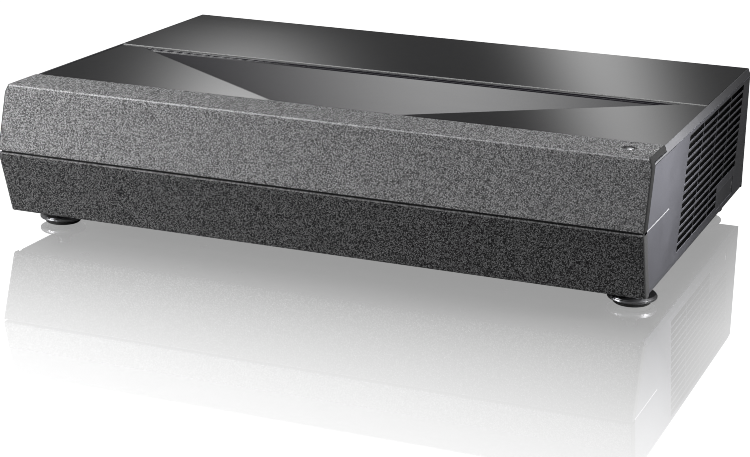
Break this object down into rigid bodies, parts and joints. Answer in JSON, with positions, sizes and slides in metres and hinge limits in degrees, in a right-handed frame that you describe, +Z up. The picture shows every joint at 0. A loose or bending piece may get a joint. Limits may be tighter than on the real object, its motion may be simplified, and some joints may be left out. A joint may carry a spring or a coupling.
{
  "type": "home projector",
  "caption": "Ultra-short-throw laser home projector: low console with a recessed light bay, fabric-fronted sound bar, side grilles and screw feet.",
  "frame": {"origin": "on the table, under the centre of the body", "axes": "+X to the right seen from the front, +Y to the back, +Z up; the fabric front faces -Y"},
  "size_m": [0.56, 0.3807, 0.131],
  "materials": {
    "tray_plastic": "fine moulded texture",
    "satin_grey": "satin metallic paint",
    "rear_black": "fine moulded texture",
    "gunmetal_gloss": "piano gloss, dark grey",
    "bay_gloss": "gloss, slightly metallic grey",
    "window_glass": "coated clear glass",
    "fabric_upper": "heathered woven polyester, mid grey",
    "fabric_lower": "heathered woven polyester, charcoal",
    "black_plastic": "moulded black",
    "rotor_plastic": "glass-filled moulding",
    "strip_metal": "satin anodised",
    "button_metal": "dished, polished edge",
    "bezel_dark": "gloss black ring",
    "circuit_board": "solder resist over copper",
    "light_pipe": "frosted clear",
    "mirror_coat": "front-surface aluminised",
    "cast_aluminium": "die-cast, machined faces",
    "optic_glass": "coated optical glass",
    "carrier_metal": "black anodised, with coated glass",
    "ring_nylon": "glass-filled nylon",
    "motor_steel": "plated can",
    "fin_aluminium": "bright stamped fins",
    "laser_copper": "copper plate and diode cans",
    "phosphor": "phosphor ring on a polished disc",
    "filter_glass": "dichroic segments on a hub",
    "cone_paper": "treated paper with rubber surround",
    "socket_metal": "plated shells",
    "supply_board": "paper-phenolic board with coils and capacitors",
    "inlet_black": "thermoset, with plated pins",
    "foot_metal": "satin chrome, milled rim",
    "pad_rubber": "matt black rubber",
    "screw_steel": "black zinc"
  },
  "bodies": {
    "body": {"base_tray": "tray_plastic", "left_side_panel": "satin_grey", "right_side_panel": "satin_grey", "rear_panel": "rear_black", "top_cover": "gunmetal_gloss", "rear_lid": "gunmetal_gloss", "left_top_rail": "satin_grey", "right_top_rail": "satin_grey", "lens_bay": "bay_gloss", "exit_window": "window_glass", "front_baffle": "black_plastic", "grille_frame": "black_plastic", "upper_fabric": "fabric_upper", "lower_fabric": "fabric_lower", "accent_strips": "strip_metal", "service_cover": "satin_grey", "vent_screens": "black_plastic", "button_bezel": "bezel_dark", "button_board": "circuit_board", "status_lights": "light_pipe", "aspheric_mirror": "mirror_coat", "mirror_bracket": "black_plastic", "lens_barrel": "cast_aluminium", "fixed_lenses": "optic_glass", "focus_motor": "motor_steel", "light_engine_case": "cast_aluminium", "relay_optics": "optic_glass", "dmd_board": "circuit_board", "dmd_heatsink": "fin_aluminium", "laser_module": "laser_copper", "laser_heatsink": "fin_aluminium", "wheel_motors": "motor_steel", "fan_frames": "black_plastic", "speaker_boxes": "black_plastic", "speaker_baskets": "cast_aluminium", "main_board": "circuit_board", "io_connectors": "socket_metal", "power_supply": "supply_board", "ac_inlet": "inlet_black", "case_screws": "screw_steel"},
    "power_button": {"power_button": "button_metal"},
    "focus_ring": {"focus_ring": "ring_nylon"},
    "focus_pinion": {"focus_pinion": "ring_nylon"},
    "focus_lens_group": {"focus_lens_group": "carrier_metal"},
    "phosphor_wheel": {"phosphor_wheel": "phosphor"},
    "colour_wheel": {"colour_wheel": "filter_glass"},
    "left_front_rotor": {"left_front_rotor": "rotor_plastic"},
    "left_rear_rotor": {"left_rear_rotor": "rotor_plastic"},
    "right_front_rotor": {"right_front_rotor": "rotor_plastic"},
    "right_rear_rotor": {"right_rear_rotor": "rotor_plastic"},
    "left_woofer_cone": {"left_woofer_cone": "cone_paper"},
    "right_woofer_cone": {"right_woofer_cone": "cone_paper"},
    "front_left_pad": {"front_left_pad": "pad_rubber"},
    "front_left_foot": {"front_left_foot": "foot_metal"},
    "front_right_pad": {"front_right_pad": "pad_rubber"},
    "front_right_foot": {"front_right_foot": "foot_metal"},
    "rear_left_pad": {"rear_left_pad": "pad_rubber"},
    "rear_left_foot": {"rear_left_foot": "foot_metal"},
    "rear_right_pad": {"rear_right_pad": "pad_rubber"},
    "rear_right_foot": {"rear_right_foot": "foot_metal"}
  },
  "joints": [
    {"name": "power_button_press", "type": "slide", "parent": "body", "child": "power_button", "axis": [0, 0, -1], "range_m": [0, 0.0012], "stiffness_N_per_m": 900, "springref_m": -0.0006},
    {"name": "focus_ring_turn", "type": "hinge", "parent": "body", "child": "focus_ring", "pos_m": [0, -0.0255, 0.066], "axis": [0, 1, 0], "range_deg": [-30, 30]},
    {"name": "focus_pinion_turn", "type": "hinge", "parent": "body", "child": "focus_pinion", "pos_m": [-0.0392, -0.0255, 0.066], "axis": [0, 1, 0], "range_deg": [-180, 180]},
    {"name": "focus_lens_slide", "type": "slide", "parent": "body", "child": "focus_lens_group", "axis": [0, 1, 0], "range_m": [-0.004, 0.004]},
    {"name": "phosphor_wheel_spin", "type": "hinge", "parent": "body", "child": "phosphor_wheel", "pos_m": [0.105, 0.026, 0.072], "axis": [0, 1, 0], "continuous": true},
    {"name": "colour_wheel_spin", "type": "hinge", "parent": "body", "child": "colour_wheel", "pos_m": [0.046, 0.06, 0.072], "axis": [0, 1, 0], "continuous": true},
    {"name": "left_front_fan_spin", "type": "hinge", "parent": "body", "child": "left_front_rotor", "pos_m": [-0.259, -0.018, 0.076], "axis": [1, 0, 0], "continuous": true},
    {"name": "left_rear_fan_spin", "type": "hinge", "parent": "body", "child": "left_rear_rotor", "pos_m": [-0.259, 0.084, 0.076], "axis": [1, 0, 0], "continuous": true},
    {"name": "right_front_fan_spin", "type": "hinge", "parent": "body", "child": "right_front_rotor", "pos_m": [0.259, -0.018, 0.076], "axis": [1, 0, 0], "continuous": true},
    {"name": "right_rear_fan_spin", "type": "hinge", "parent": "body", "child": "right_rear_rotor", "pos_m": [0.259, 0.084, 0.076], "axis": [1, 0, 0], "continuous": true},
    {"name": "left_woofer_stroke", "type": "slide", "parent": "body", "child": "left_woofer_cone", "axis": [0, 1, 0], "range_m": [-0.0025, 0.0025], "stiffness_N_per_m": 1500},
    {"name": "right_woofer_stroke", "type": "slide", "parent": "body", "child": "right_woofer_cone", "axis": [0, 1, 0], "range_m": [-0.0025, 0.0025], "stiffness_N_per_m": 1500},
    {"name": "front_left_foot_height", "type": "slide", "parent": "body", "child": "front_left_pad", "axis": [0, 0, -1], "range_m": [-0.005, 0.008]},
    {"name": "front_left_foot_turn", "type": "hinge", "parent": "front_left_pad", "child": "front_left_foot", "pos_m": [-0.258, -0.124, 0.02], "axis": [0, 0, -1], "range_deg": [-1200, 1920]},
    {"name": "front_right_foot_height", "type": "slide", "parent": "body", "child": "front_right_pad", "axis": [0, 0, -1], "range_m": [-0.005, 0.008]},
    {"name": "front_right_foot_turn", "type": "hinge", "parent": "front_right_pad", "child": "front_right_foot", "pos_m": [0.258, -0.124, 0.02], "axis": [0, 0, -1], "range_deg": [-1200, 1920]},
    {"name": "rear_left_foot_height", "type": "slide", "parent": "body", "child": "rear_left_pad", "axis": [0, 0, -1], "range_m": [-0.005, 0.008]},
    {"name": "rear_left_foot_turn", "type": "hinge", "parent": "rear_left_pad", "child": "rear_left_foot", "pos_m": [-0.25, 0.152, 0.02], "axis": [0, 0, -1], "range_deg": [-1200, 1920]},
    {"name": "rear_right_foot_height", "type": "slide", "parent": "body", "child": "rear_right_pad", "axis": [0, 0, -1], "range_m": [-0.005, 0.008]},
    {"name": "rear_right_foot_turn", "type": "hinge", "parent": "rear_right_pad", "child": "rear_right_foot", "pos_m": [0.25, 0.152, 0.02], "axis": [0, 0, -1], "range_deg": [-1200, 1920]}
  ],
  "couplings": [
    {"joint": "focus_pinion_turn", "follows": "focus_ring_turn", "ratio": -6},
    {"joint": "focus_lens_slide", "follows": "focus_ring_turn", "m_per_rad": 0.0076394},
    {"joint": "front_left_foot_turn", "follows": "front_left_foot_height", "rad_per_m": 4188.8},
    {"joint": "front_right_foot_turn", "follows": "front_right_foot_height", "rad_per_m": 4188.8},
    {"joint": "rear_left_foot_turn", "follows": "rear_left_foot_height", "rad_per_m": 4188.8},
    {"joint": "rear_right_foot_turn", "follows": "rear_right_foot_height", "rad_per_m": 4188.8}
  ]
}
